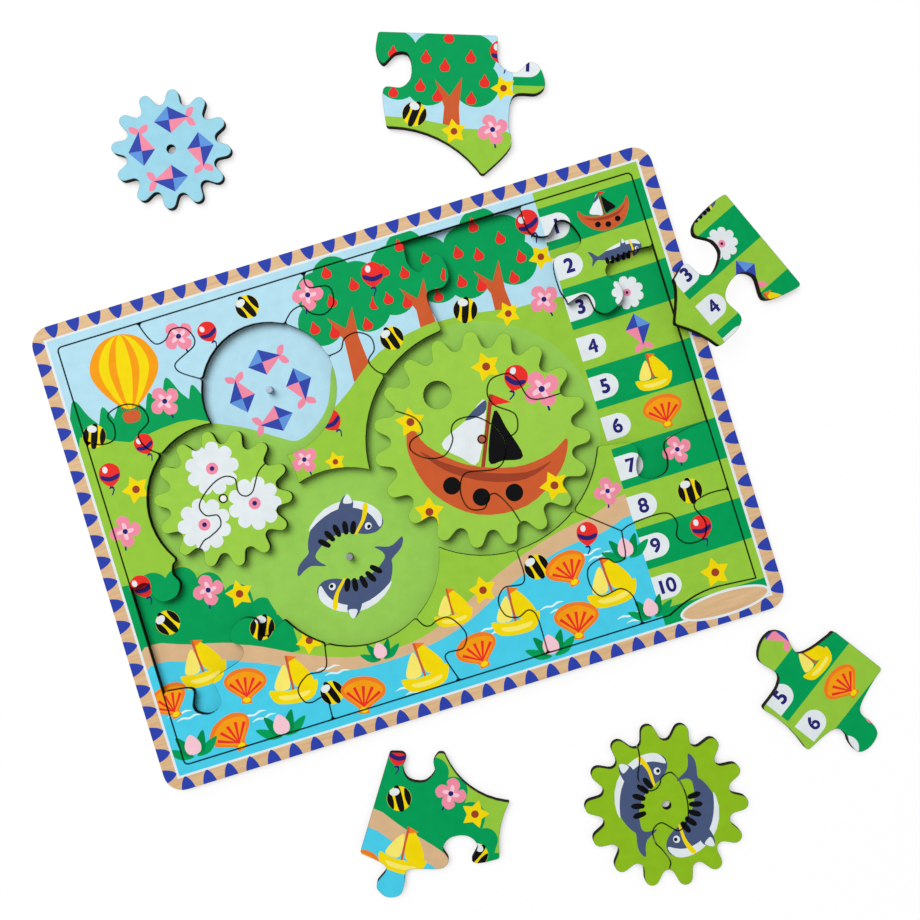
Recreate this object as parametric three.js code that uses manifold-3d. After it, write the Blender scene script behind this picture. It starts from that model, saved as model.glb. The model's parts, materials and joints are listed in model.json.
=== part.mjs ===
// Wooden tray puzzle with turning gears, in millimetres, +Z up.
// The origin is the middle of the tray's underside, and +X runs along its long side.
// A panel of thin board fills the tray's recess. Four round wells are cut out of it for gears, and
// narrow slots along free curves cut the rest into jigsaw pieces. The gears are cut the same way.
// Some pieces and two gears lie beside the tray, and one piece leans on its edge.
import * as THREE from 'three';
import { mergeVertices } from 'three/addons/utils/BufferGeometryUtils.js';
import Module from 'manifold-3d';

// Tray
const trayLength = 401.6;
const trayWidth = 299.6;
const trayCornerRadius = 12;
const baseThickness = 3;
const frameThickness = 6;
const borderWidth = 14.4;
const recessCornerRadius = 3;

// Jigsaw pieces: the slot between neighbours, the gap to the recess's wall, and the rounding of the
// corners where a slot comes out at that gap or at a well
const pieceThickness = 6;
const slotWidth = 0.6;
const rimGap = 0.7;
const pieceCornerRadius = 2;

// Gears
const gearThickness = 6;
const gearFloat = 0.3;
const meshPlay = 1.2;
const wellGap = 4.7;
const fingerHoleRadius = 8.7;

// Pegs
const pegRadius = 2.1;
const pegChamfer = 0.5;
const pegSeatGap = 0.1;
const hubPlay = 0.75;

// The leaning piece clears the tray's edge by this much
const leanGap = 0.3;

// Cuts run this far past what they cut, rounding cuts lap this far over a slot and an edge, and
// curves are faceted to this error. This many halvings find where a slot crosses an edge.
const overrun = 1;
const cornerLap = 0.05;
const flatness = 0.1;
const crossingHalvings = 20;

// Sizes that follow from those above
const trayHeight = baseThickness + frameThickness;
const recessLength = trayLength - 2 * borderWidth;
const recessWidth = trayWidth - 2 * borderWidth;
const hubHoleRadius = pegRadius + hubPlay;

// The layout of gears and slots keeps its proportions, so it is sized by whichever side of the
// recess it fills first. Slots that reach the frame run on to the recess's wall.
const layoutAspectShare = 0.7264;
const layoutHalfLength = Math.min(recessLength / 2, recessWidth / 2 / layoutAspectShare);
const layoutHalfWidth = layoutHalfLength * layoutAspectShare;

// Tooth spacing along the pitch circle, of the two upper gears and of the two lower ones, in
// shares of the layout's half length
const smallPitchShare = 0.09335;
const largePitchShare = 0.11105;

// Proportions of a tooth, in shares of the pitch
const addendumShare = 0.235;
const dedendumShare = 0.29;
const tipRoundShare = 0.22;
const valleyRoundShare = 0.2;

// A full turn, in radians
const fullTurn = 2 * Math.PI;

// Outline helpers. An outline is a closed list of THREE.Vector2 that runs anticlockwise.

function arcSteps(radius, sweep) {
  const chordAngle = 2 * Math.acos(1 - Math.min(flatness / radius, 0.5));
  return Math.max(2, Math.ceil(Math.abs(sweep) / chordAngle));
}

function polar(radius, angle) {
  return new THREE.Vector2(radius * Math.cos(angle), radius * Math.sin(angle));
}

function arcPoints(centre, radius, startAngle, sweep) {
  const steps = arcSteps(radius, sweep);
  const points = [];
  for (let step = 0; step <= steps; step += 1) {
    points.push(polar(radius, startAngle + (sweep * step) / steps).add(centre));
  }
  return points;
}

function circleOutline(radius, centre = new THREE.Vector2()) {
  return arcPoints(centre, radius, 0, fullTurn).slice(0, -1);
}

function roundedRectangle(length, width, cornerRadius) {
  const signs = [[1, 1], [-1, 1], [-1, -1], [1, -1]];
  return signs.flatMap(([signX, signY], corner) => {
    const centre = new THREE.Vector2(
      signX * (length / 2 - cornerRadius),
      signY * (width / 2 - cornerRadius),
    );
    return arcPoints(centre, cornerRadius, (corner * Math.PI) / 2, Math.PI / 2);
  });
}

// Drops the points of a path that lie within the flatness of the line between those kept.
function simplified(path) {
  const first = path[0];
  const last = path[path.length - 1];
  const chord = new THREE.Line3(
    new THREE.Vector3(first.x, first.y, 0),
    new THREE.Vector3(last.x, last.y, 0),
  );
  let farthest = 0;
  let farthestIndex = 0;
  path.forEach((point, index) => {
    const spot = new THREE.Vector3(point.x, point.y, 0);
    const distance = chord.closestPointToPoint(spot, true, new THREE.Vector3()).distanceTo(spot);
    if (distance > farthest) {
      farthest = distance;
      farthestIndex = index;
    }
  });
  if (farthest <= flatness) {
    return [first, last];
  }
  const before = simplified(path.slice(0, farthestIndex + 1));
  const after = simplified(path.slice(farthestIndex));
  return [...before.slice(0, -1), ...after];
}

// A smooth path through places.
function curveThrough(places) {
  if (places.length === 2) {
    return places;
  }
  const knots = places.map(({ x, y }) => new THREE.Vector3(x, y, 0));
  const curve = new THREE.CatmullRomCurve3(knots, false, 'centripetal');
  const samples = curve.getPoints(places.length * 16);
  return simplified(samples.map((sample) => new THREE.Vector2(sample.x, sample.y)));
}

// The outline of a slot of even width along a path. It runs half a width past both ends.
function slotOutline(path, width) {
  const left = [];
  const right = [];
  path.forEach((point, index) => {
    const before = path[Math.max(index - 1, 0)];
    const after = path[Math.min(index + 1, path.length - 1)];
    const into = point.clone().sub(before).normalize();
    const out = after.clone().sub(point).normalize();
    const along = into.clone().add(out).normalize();
    const side = new THREE.Vector2(-along.y, along.x);
    const straight = into.lengthSq() > 0 ? into : out;
    const mitre = Math.max(side.dot(new THREE.Vector2(-straight.y, straight.x)), 0.5);
    const reach = width / 2 / mitre;
    const past = index === 0 ? -width / 2 : width / 2;
    const isEnd = index === 0 || index === path.length - 1;
    const spot = isEnd ? point.clone().addScaledVector(along, past) : point;
    left.push(spot.clone().addScaledVector(side, reach));
    right.push(spot.clone().addScaledVector(side, -reach));
  });
  return [...right, ...left.reverse()];
}

// Solid helpers, with manifold-3d for cuts

const wasm = await Module();
wasm.setup();

function solidFrom(geometry) {
  geometry.deleteAttribute('normal');
  geometry.deleteAttribute('uv');
  const merged = mergeVertices(geometry);
  return new wasm.Manifold(new wasm.Mesh({
    numProp: 3,
    vertProperties: new Float32Array(merged.attributes.position.array),
    triVerts: new Uint32Array(merged.index.array),
  }));
}

function prism(outline, bottom, height) {
  const geometry = new THREE.ExtrudeGeometry(new THREE.Shape(outline), {
    depth: height,
    bevelEnabled: false,
  });
  geometry.translate(0, 0, bottom);
  return solidFrom(geometry);
}

// A cutting prism runs past both faces of the board that it cuts.
function cutter(outline, bottom, height) {
  return prism(outline, bottom - overrun, height + 2 * overrun);
}

function geometryFrom(solid) {
  const mesh = solid.getMesh();
  const geometry = new THREE.BufferGeometry();
  geometry.setAttribute('position', new THREE.BufferAttribute(mesh.vertProperties, 3));
  geometry.setIndex(new THREE.BufferAttribute(mesh.triVerts, 1));
  return geometry;
}

// The one of several loose solids that holds a marked place.
function solidAt(solids, place, bottom, height) {
  const probe = prism(circleOutline(slotWidth, place), bottom, height);
  return solids.find((solid) => !solid.intersect(probe).isEmpty());
}

// Materials

function finish(color, roughness) {
  return new THREE.MeshStandardMaterial({ color, roughness, metalness: 0 });
}

const colours = {
  bareWood: 0xd9b27c,
  sky: 0xb9e0f0,
  meadow: 0x97c83f,
  grass: 0x8fcb58,
  hedge: 0x00a05a,
  pond: 0x35c5ea,
  gear: 0x94c52c,
  paleGear: 0xa5ddf0,
  whitePaint: 0xeceae4,
  rustPaint: 0xa8553a,
  greyPaint: 0x8d8f96,
  bluePaint: 0xa9b9cc,
};
const woodRoughness = 0.7;
const printRoughness = 0.45;

const toy = new THREE.Group();

function addPiece(parent, name, geometry, color, roughness = printRoughness) {
  const mesh = new THREE.Mesh(geometry, finish(color, roughness));
  mesh.name = name;
  parent.add(mesh);
  return mesh;
}

// Gears: their teeth, sizes and places

// Each gear turns on its peg. The places of the pegs follow from gears that mesh with some play.
const gears = {
  small: { teeth: 12, pitchShare: smallPitchShare },
  left: { teeth: 14, pitchShare: smallPitchShare },
  lower: { teeth: 14, pitchShare: largePitchShare },
  main: { teeth: 19, pitchShare: largePitchShare },
};
for (const gear of Object.values(gears)) {
  gear.pitch = gear.pitchShare * layoutHalfLength;
  gear.pitchRadius = (gear.teeth * gear.pitch) / fullTurn;
  gear.tipRadius = gear.pitchRadius + addendumShare * gear.pitch;
  gear.rootRadius = gear.pitchRadius - dedendumShare * gear.pitch;
  gear.wellRadius = gear.tipRadius + wellGap;
}

const lowerPegShares = [-0.274, -0.31];
const bearingToMain = THREE.MathUtils.degToRad(24.5);
const bearingToLeft = THREE.MathUtils.degToRad(138);
const bearingToSmall = THREE.MathUtils.degToRad(50.2);

function besideGear(gear, neighbour, bearing) {
  const distance = gear.pitchRadius + neighbour.pitchRadius + meshPlay;
  return polar(distance, bearing).add(neighbour.centre);
}

gears.lower.centre = new THREE.Vector2(
  lowerPegShares[0] * layoutHalfLength,
  lowerPegShares[1] * layoutHalfWidth,
);
gears.main.centre = besideGear(gears.main, gears.lower, bearingToMain);
gears.left.centre = besideGear(gears.left, gears.lower, bearingToLeft);
gears.small.centre = besideGear(gears.small, gears.left, bearingToSmall);

// Tip arcs and valley arcs, joined by straight flanks that touch both. Tooth 0 points along +X.
function gearOutline(gear) {
  const tipRound = tipRoundShare * gear.pitch;
  const valleyRound = valleyRoundShare * gear.pitch;
  const halfTooth = Math.PI / gear.teeth;
  const tipCentre = polar(gear.tipRadius - tipRound, 0);
  const valleyCentre = polar(gear.rootRadius + valleyRound, halfTooth);
  const between = valleyCentre.clone().sub(tipCentre);
  const lean = Math.acos((tipRound + valleyRound) / between.length());
  const flankAngle = between.angle() - lean;
  const valleyStart = flankAngle + Math.PI;
  const valleySweep = 2 * (halfTooth + Math.PI - valleyStart);
  const outline = [];
  for (let tooth = 0; tooth < gear.teeth; tooth += 1) {
    const turn = tooth * 2 * halfTooth;
    const tip = arcPoints(tipCentre, tipRound, -flankAngle, 2 * flankAngle);
    const valley = arcPoints(valleyCentre, valleyRound, valleyStart, valleySweep);
    for (const point of [...tip, ...valley]) {
      outline.push(point.rotateAround(new THREE.Vector2(), turn));
    }
  }
  return outline;
}

// Slots through the gears, in shares of the pitch radius, with tooth 0 along +X.

const leftGearSlotShares = [
  [0.841, 0.669], [0.584, 0.432], [0.474, 0.102], [0.394, 0.034], [0.301, 0.043], [0.238, 0.114],
  [0.194, 0.313], [0.039, 0.353], [-0.173, 0.228], [-0.385, -0.115], [-0.283, -0.263],
  [-0.092, -0.266], [-0.049, -0.423], [-0.230, -0.607], [-0.326, -0.666], [-0.477, -0.940],
];
const lowerGearSlotShares = [
  [-0.376, 0.823], [-0.346, 0.641], [-0.378, 0.381], [-0.336, 0.263], [-0.242, 0.200],
  [-0.142, 0.219], [-0.080, 0.297], [-0.068, 0.362], [0.068, 0.439], [0.249, 0.178],
  [0.275, -0.200], [0.159, -0.349], [-0.088, -0.236], [-0.196, -0.336], [-0.162, -0.510],
  [-0.085, -0.588], [0.030, -0.768], [0.013, -0.857], [0.007, -0.955],
];
// The main gear's three slots meet beside its hub.
const mainGearMeetingShare = [0.218, 0.003];
const mainGearSlotsShares = [
  [
    [-0.926, 0.333], [-0.640, 0.216], [-0.588, 0.091], [-0.688, 0.019], [-0.716, -0.027],
    [-0.705, -0.088], [-0.563, -0.169], [-0.375, -0.149], [-0.288, 0.007], [-0.302, 0.086],
    [-0.284, 0.156], [-0.223, 0.205], [-0.064, 0.226], [0.131, 0.122], mainGearMeetingShare,
  ],
  [
    mainGearMeetingShare, [0.303, 0.031], [0.353, 0.085], [0.338, 0.235], [0.125, 0.342],
    [0.066, 0.454], [0.106, 0.587], [0.283, 0.642], [0.360, 0.590], [0.498, 0.388], [0.888, 0.453],
  ],
  [
    mainGearMeetingShare, [0.234, -0.088], [0.195, -0.246], [0.117, -0.301], [-0.185, -0.340],
    [-0.228, -0.518], [-0.147, -0.681], [0.002, -0.685], [0.059, -0.560], [0.110, -0.540],
    [0.255, -0.672], [0.395, -0.904],
  ],
];
const fingerHoleBearing = THREE.MathUtils.degToRad(133.4);
const fingerHoleReachShare = 0.623;

// The pieces of each gear, by a place on them, in shares of the pitch radius.
const gearPieceShares = {
  small: { gear_small: [0.3, 0] },
  left: { gear_left_hub: [0.3, -0.3], gear_left_rim: [-0.3, 0.6] },
  lower: { gear_lower_hub: [-0.6, 0], gear_lower_rim: [0.6, 0] },
  main: { gear_main_hub: [-0.1, -0.12], gear_main_finger: [-0.1, 0.75], gear_main_side: [0.6, -0.2] },
};
const gearSlotsShares = {
  small: [],
  left: [leftGearSlotShares],
  lower: [lowerGearSlotShares],
  main: mainGearSlotsShares,
};

// How each gear lies: in the tray on its peg, or on the table at a place in shares of the tray.
const gearTurns = {
  small: THREE.MathUtils.degToRad(-18.3),
  left: THREE.MathUtils.degToRad(-15.5),
  lower: THREE.MathUtils.degToRad(-15.5),
  main: THREE.MathUtils.degToRad(-15.3),
};
const looseGearShares = {
  small: [-0.4124, 1.5586],
  lower: [0.4578, -1.6544],
};

function gearPlace(name) {
  const { centre } = gears[name];
  const shares = looseGearShares[name];
  if (!shares) {
    return new THREE.Vector3(centre.x, centre.y, baseThickness + gearFloat);
  }
  return new THREE.Vector3((shares[0] * trayLength) / 2, (shares[1] * trayWidth) / 2, 0);
}

function buildGear(name) {
  const gear = gears[name];
  let blank = prism(gearOutline(gear), 0, gearThickness);
  blank = blank.subtract(cutter(circleOutline(hubHoleRadius), 0, gearThickness));
  if (name === 'main') {
    const place = polar(fingerHoleReachShare * gear.pitchRadius, fingerHoleBearing);
    blank = blank.subtract(cutter(circleOutline(fingerHoleRadius, place), 0, gearThickness));
  }
  for (const shares of gearSlotsShares[name]) {
    const places = shares.map(([x, y]) => new THREE.Vector2(x, y).multiplyScalar(gear.pitchRadius));
    const path = curveThrough(places);
    blank = blank.subtract(cutter(slotOutline(path, slotWidth), 0, gearThickness));
  }
  const solids = blank.decompose();
  const holder = new THREE.Group();
  holder.position.copy(gearPlace(name));
  holder.rotation.z = gearTurns[name];
  const color = name === 'small' ? colours.paleGear : colours.gear;
  for (const [piece, [shareX, shareY]] of Object.entries(gearPieceShares[name])) {
    const place = new THREE.Vector2(shareX * gear.pitchRadius, shareY * gear.pitchRadius);
    const solid = solidAt(solids, place, 0, gearThickness);
    addPiece(holder, piece, geometryFrom(solid), color);
  }
  toy.add(holder);
}

// Tray: the base board with its peg holes, and the frame glued on it

// At the lower right the frame's inner edge swells in over a bare label spot. The swelling's
// outline starts and ends on the recess's edges, in shares of its half length and half width.
const swellingShares = [
  [0.69, -1.0], [0.745, -0.967], [0.806, -0.944], [0.86, -0.938], [0.912, -0.943], [1.0, -0.953],
];

function swellingSolid(bottom, height) {
  const places = swellingShares.map(([shareX, shareY]) => (
    new THREE.Vector2((shareX * recessLength) / 2, (shareY * recessWidth) / 2)
  ));
  const edge = curveThrough(places);
  const first = edge[0];
  const last = edge[edge.length - 1];
  const outside = [
    new THREE.Vector2(last.x + borderWidth / 2, last.y),
    new THREE.Vector2(last.x + borderWidth / 2, first.y - borderWidth / 2),
    new THREE.Vector2(first.x, first.y - borderWidth / 2),
  ];
  return prism([...edge, ...outside].reverse(), bottom, height);
}

function buildTray() {
  const outer = roundedRectangle(trayLength, trayWidth, trayCornerRadius);
  let base = prism(outer, 0, baseThickness);
  for (const gear of Object.values(gears)) {
    const hole = circleOutline(pegRadius + pegSeatGap, gear.centre);
    base = base.subtract(cutter(hole, 0, baseThickness));
  }
  const recess = cutter(
    roundedRectangle(recessLength, recessWidth, recessCornerRadius),
    baseThickness,
    frameThickness,
  ).subtract(swellingSolid(baseThickness - 2 * overrun, frameThickness + 4 * overrun));
  const frame = prism(outer, baseThickness, frameThickness).subtract(recess);
  addPiece(toy, 'tray_base', geometryFrom(base), colours.grass);
  addPiece(toy, 'tray_frame', geometryFrom(frame), colours.bareWood, woodRoughness);
}

// Pegs: plain dowels through the base, level with the pieces' tops, with a chamfered end
function buildPegs() {
  const height = baseThickness + pieceThickness;
  const profile = [
    new THREE.Vector2(0, 0),
    new THREE.Vector2(pegRadius, 0),
    new THREE.Vector2(pegRadius, height - pegChamfer),
    new THREE.Vector2(pegRadius - pegChamfer, height),
    new THREE.Vector2(0, height),
  ];
  const paints = {
    small: colours.bluePaint,
    left: colours.whitePaint,
    lower: colours.greyPaint,
    main: colours.rustPaint,
  };
  for (const [name, color] of Object.entries(paints)) {
    const turned = new THREE.LatheGeometry(profile, arcSteps(pegRadius, fullTurn));
    turned.rotateX(Math.PI / 2);
    const peg = addPiece(toy, `peg_${name}`, geometryFrom(solidFrom(turned)), color);
    peg.position.set(gears[name].centre.x, gears[name].centre.y, 0);
  }
}

// Jigsaw slots, in shares of the layout's half length and half width. Those that end at a well
// run on a little way into it. A share beyond 1 lies past the panel's edge.

const topLeftCornerSlotShares = [
  [-0.718, 1.027], [-0.717, 0.991], [-0.681, 0.883], [-0.647, 0.887], [-0.618, 0.924],
  [-0.574, 0.914], [-0.553, 0.857], [-0.560, 0.826], [-0.640, 0.766], [-0.637, 0.736],
  [-0.542, 0.643],
];
const leftUpperSlotShares = [
  [-1.025, 0.558], [-0.954, 0.516], [-0.906, 0.521], [-0.893, 0.581], [-0.903, 0.635],
  [-0.835, 0.659], [-0.786, 0.618], [-0.779, 0.555], [-0.825, 0.507], [-0.813, 0.444],
  [-0.751, 0.373],
];
const topLeftSlotShares = [
  [-0.133, 1.027], [-0.138, 0.991], [-0.146, 0.971], [-0.141, 0.927], [-0.082, 0.908],
  [-0.070, 0.887], [-0.077, 0.820], [-0.116, 0.787], [-0.158, 0.809], [-0.177, 0.852],
  [-0.214, 0.846], [-0.268, 0.775],
];
const centreSlotShares = [
  [-0.166, 0.595], [-0.099, 0.609], [-0.077, 0.652], [-0.033, 0.664], [0.008, 0.625],
  [0.008, 0.565], [-0.021, 0.524], [-0.006, 0.468], [0.048, 0.414],
];
const topMiddleSlotShares = [
  [0.207, 1.027], [0.201, 0.894], [0.227, 0.847], [0.269, 0.899], [0.307, 0.898], [0.320, 0.790],
  [0.292, 0.745], [0.233, 0.739], [0.248, 0.517],
];
const archRightSlotShares = [
  [0.609, 1.030], [0.619, 0.864], [0.672, 0.829], [0.717, 0.880], [0.748, 0.866], [0.773, 0.770],
  [0.747, 0.734], [0.670, 0.721], [0.656, 0.582], [0.667, 0.495], [0.542, 0.304],
];
const strips2To3SlotShares = [
  [0.668, 0.502], [0.727, 0.524], [0.740, 0.513], [0.752, 0.436], [0.786, 0.408], [0.850, 0.453],
  [0.856, 0.514], [0.822, 0.591], [0.845, 0.631], [0.969, 0.648], [1.025, 0.637],
];
const strips4To5SlotShares = [
  [1.025, 0.092], [0.971, 0.095], [0.865, 0.157], [0.889, 0.270], [0.862, 0.318], [0.806, 0.318],
  [0.763, 0.276], [0.764, 0.166], [0.736, 0.138], [0.601, 0.131],
];
const strips6To7SlotShares = [
  [1.025, -0.194], [0.939, -0.199], [0.844, -0.230], [0.834, -0.261], [0.836, -0.301],
  [0.818, -0.361], [0.759, -0.371], [0.727, -0.341], [0.734, -0.281], [0.747, -0.254],
  [0.744, -0.199], [0.590, -0.149],
];
// Three slots meet below the main well.
const lowerMeetingShare = [0.617, -0.563];
const strips8To9SlotShares = [
  lowerMeetingShare, [0.646, -0.548], [0.783, -0.549], [0.802, -0.603], [0.788, -0.663],
  [0.815, -0.707], [0.871, -0.704], [0.893, -0.640], [0.872, -0.556], [0.881, -0.535],
  [0.930, -0.517], [1.025, -0.523],
];
const mainWellSlotShares = [[0.456, -0.380], lowerMeetingShare];
const bottomRightSlotShares = [
  lowerMeetingShare, [0.600, -0.687], [0.564, -0.691], [0.547, -0.667], [0.520, -0.657],
  [0.474, -0.683], [0.464, -0.757], [0.488, -0.821], [0.559, -0.815], [0.588, -0.858],
  [0.592, -1.030],
];
const bottomMiddleSlotShares = [
  [0.263, -0.458], [0.255, -0.656], [0.186, -0.654], [0.156, -0.707], [0.167, -0.778],
  [0.206, -0.801], [0.242, -0.783], [0.260, -0.801], [0.264, -1.030],
];
const bottomLeftSlotShares = [
  [-0.139, -0.620], [-0.101, -0.713], [-0.082, -0.719], [-0.062, -0.707], [-0.019, -0.707],
  [0.022, -0.804], [-0.002, -0.861], [-0.055, -0.861], [-0.067, -0.875], [-0.041, -1.030],
];
const bottomLeftCornerSlotShares = [
  [-0.421, -0.606], [-0.435, -0.646], [-0.454, -0.757], [-0.474, -0.773], [-0.523, -0.770],
  [-0.567, -0.824], [-0.555, -0.885], [-0.533, -0.895], [-0.498, -0.885], [-0.484, -0.898],
  [-0.485, -1.030],
];
const leftLowerSlotShares = [
  [-0.789, -0.070], [-0.822, -0.095], [-0.839, -0.102], [-0.850, -0.145], [-0.836, -0.192],
  [-0.858, -0.247], [-0.910, -0.257], [-0.938, -0.216], [-0.938, -0.165], [-0.951, -0.149],
  [-1.025, -0.166],
];
const leftBankSlotShares = [
  [-1.025, -0.645], [-0.899, -0.678], [-0.915, -0.753], [-0.909, -0.781], [-0.869, -0.806],
  [-0.827, -0.778], [-0.824, -0.716], [-0.829, -0.665], [-0.714, -0.603], [-0.704, -0.561],
  [-0.734, -0.517], [-0.722, -0.465], [-0.668, -0.433], [-0.628, -0.461], [-0.632, -0.534],
  [-0.614, -0.541], [-0.504, -0.458],
];
const panelSlotsShares = [
  topLeftCornerSlotShares, leftUpperSlotShares, topLeftSlotShares, centreSlotShares,
  topMiddleSlotShares, archRightSlotShares, strips2To3SlotShares, strips4To5SlotShares,
  strips6To7SlotShares, strips8To9SlotShares, mainWellSlotShares, bottomRightSlotShares,
  bottomMiddleSlotShares, bottomLeftSlotShares, bottomLeftCornerSlotShares, leftLowerSlotShares,
  leftBankSlotShares,
];

// Each jigsaw piece by a place on it, in shares of the layout's half length and half width
const panelPieces = {
  panel_corner_top_left: { placeShare: [-0.86, 0.81], color: colours.sky },
  panel_top_left: { placeShare: [-0.4, 0.92], color: colours.sky },
  panel_top_middle: { placeShare: [0.05, 0.78], color: colours.hedge },
  panel_top_arch: { placeShare: [0.43, 0.81], color: colours.hedge },
  panel_strips_1_2: { placeShare: [0.86, 0.85], color: colours.meadow },
  panel_strips_3_4: { placeShare: [0.91, 0.33], color: colours.meadow },
  panel_strips_5_6: { placeShare: [0.885, -0.04], color: colours.meadow },
  panel_strips_7_8: { placeShare: [0.91, -0.33], color: colours.meadow },
  panel_strips_9_10: { placeShare: [0.8, -0.85], color: colours.meadow },
  panel_bottom_right: { placeShare: [0.38, -0.89], color: colours.pond },
  panel_bottom_middle: { placeShare: [0.1, -0.6], color: colours.pond },
  panel_bottom_left: { placeShare: [-0.27, -0.85], color: colours.pond },
  panel_corner_bottom_left: { placeShare: [-0.7, -0.85], color: colours.pond },
  panel_left_edge: { placeShare: [-0.92, 0.15], color: colours.meadow },
  panel_left_bank: { placeShare: [-0.8, -0.44], color: colours.hedge },
  panel_centre: { placeShare: [-0.11, 0.37], color: colours.meadow },
};

// Pieces that lie beside the tray: where their marked place comes to lie, in shares of the tray's
// half length and half width, and how far they are turned.
const loosePanelShares = {
  panel_top_arch: [0.4637, 1.5258],
  panel_strips_3_4: [1.1922, 0.3999],
  panel_strips_5_6: [1.078, -1.3439],
  panel_left_bank: [-0.2656, -1.4485],
};
const loosePanelTurns = {
  panel_top_arch: THREE.MathUtils.degToRad(-19),
  panel_strips_3_4: THREE.MathUtils.degToRad(24),
  panel_strips_5_6: THREE.MathUtils.degToRad(34.7),
  panel_left_bank: THREE.MathUtils.degToRad(-33.6),
};
const leaningPiece = 'panel_strips_3_4';

// A place in the layout. Where a share is beyond 1, it lies an overrun past the recess's wall.
function layoutPlace([shareX, shareY]) {
  const wallX = Math.sign(shareX) * (recessLength / 2 + overrun);
  const wallY = Math.sign(shareY) * (recessWidth / 2 + overrun);
  return new THREE.Vector2(
    Math.abs(shareX) > 1 ? wallX : shareX * layoutHalfLength,
    Math.abs(shareY) > 1 ? wallY : shareY * layoutHalfWidth,
  );
}

// The panel before its slots are cut: the recess's outline less the rim gap, the swelling and the
// wells.
function panelBlank() {
  let blank = prism(
    roundedRectangle(recessLength - 2 * rimGap, recessWidth - 2 * rimGap, recessCornerRadius - rimGap),
    baseThickness,
    pieceThickness,
  );
  const swelling = swellingSolid(baseThickness - overrun, pieceThickness + 2 * overrun);
  blank = blank.subtract(swelling.translate([-rimGap, rimGap, 0]));
  for (const gear of Object.values(gears)) {
    const well = circleOutline(gear.wellRadius, gear.centre);
    blank = blank.subtract(cutter(well, baseThickness, pieceThickness));
  }
  return blank;
}

// How deep a place lies inside the panel from its nearest edge, and the way out to that edge
function nearestPanelEdge(place) {
  const edges = [
    {
      depth: recessLength / 2 - rimGap - Math.abs(place.x),
      out: new THREE.Vector2(Math.sign(place.x), 0),
    },
    {
      depth: recessWidth / 2 - rimGap - Math.abs(place.y),
      out: new THREE.Vector2(0, Math.sign(place.y)),
    },
  ];
  for (const gear of Object.values(gears)) {
    const toPeg = gear.centre.clone().sub(place);
    edges.push({ depth: toPeg.length() - gear.wellRadius, out: toPeg.normalize() });
  }
  return edges.reduce((nearest, edge) => (edge.depth < nearest.depth ? edge : nearest));
}

// The place where a path first gets a distance away from its start
function placeAlong(path, distance) {
  const beyond = path.findIndex((point) => point.distanceTo(path[0]) > distance);
  const before = path[beyond - 1].distanceTo(path[0]);
  const after = path[beyond].distanceTo(path[0]);
  return path[beyond - 1].clone().lerp(path[beyond], (distance - before) / (after - before));
}

// Where and in which direction a path leads into the panel. There is no such place where a path
// starts inside the panel, at a meeting of slots.
function entryOf(path) {
  const inner = path.findIndex((point) => nearestPanelEdge(point).depth > 0);
  if (inner < 1) {
    return null;
  }
  let outside = path[inner - 1].clone();
  let inside = path[inner].clone();
  for (let halving = 0; halving < crossingHalvings; halving += 1) {
    const middle = outside.clone().lerp(inside, 0.5);
    if (nearestPanelEdge(middle).depth > 0) {
      inside = middle;
    } else {
      outside = middle;
    }
  }
  const ahead = placeAlong([inside, ...path.slice(inner)], pieceCornerRadius);
  return { place: inside, inward: ahead.sub(inside).normalize() };
}

// The waste beside a slot's mouth on one side: it lies between the slot, the panel's edge and an
// arc that touches both, and laps a little way over the two.
function cornerWaste({ place, inward }, side) {
  const across = new THREE.Vector2(-inward.y, inward.x).multiplyScalar(side);
  const nearby = place.clone().addScaledVector(across, pieceCornerRadius);
  const edge = nearestPanelEdge(nearby);
  const along = nearby.addScaledVector(edge.out, edge.depth).sub(place).normalize();
  const out = new THREE.Vector2(-along.y, along.x).multiplyScalar(side);
  const slotLine = across.clone().multiplyScalar(slotWidth / 2 - cornerLap);
  const edgeLine = out.clone().multiplyScalar(cornerLap);
  const offset = slotLine.clone().sub(edgeLine);
  const run = offset.cross(inward) / along.cross(inward);
  const corner = place.clone().add(edgeLine).addScaledVector(along, run);
  const halfAngle = Math.acos(along.dot(inward)) / 2;
  const reach = pieceCornerRadius / Math.tan(halfAngle);
  const towardsCentre = along.clone().add(inward).normalize();
  const centre = corner.clone().addScaledVector(
    towardsCentre,
    pieceCornerRadius / Math.sin(halfAngle),
  );
  const onSlot = corner.clone().addScaledVector(inward, reach);
  const onEdge = corner.clone().addScaledVector(along, reach);
  const startAngle = onSlot.clone().sub(centre).angle();
  const endAngle = onEdge.clone().sub(centre).angle();
  const sweep = Math.atan2(Math.sin(endAngle - startAngle), Math.cos(endAngle - startAngle));
  const outline = [
    ...arcPoints(centre, pieceCornerRadius, startAngle, sweep),
    onEdge.clone().addScaledVector(out, overrun),
    place.clone().addScaledVector(out, overrun),
    onSlot.clone().sub(slotLine),
  ];
  return side > 0 ? outline : outline.reverse();
}

// A loose piece is the same cut piece, moved onto the table and turned about its marked place.
function layBeside(name, geometry, place) {
  const [shareX, shareY] = loosePanelShares[name];
  geometry.translate(-place.x, -place.y, -baseThickness);
  geometry.rotateZ(loosePanelTurns[name]);
  geometry.translate((shareX * trayLength) / 2, (shareY * trayWidth) / 2, 0);
}

// The leaning piece stands on its outermost corner and lies on the tray's upper edge.
function leanOnTray(geometry, holder) {
  geometry.computeBoundingBox();
  const corner = geometry.boundingBox.max.x;
  const tilt = Math.atan((trayHeight + leanGap) / (corner - trayLength / 2));
  geometry.translate(-corner, 0, 0);
  holder.position.x = corner;
  holder.rotation.y = tilt;
}

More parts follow.
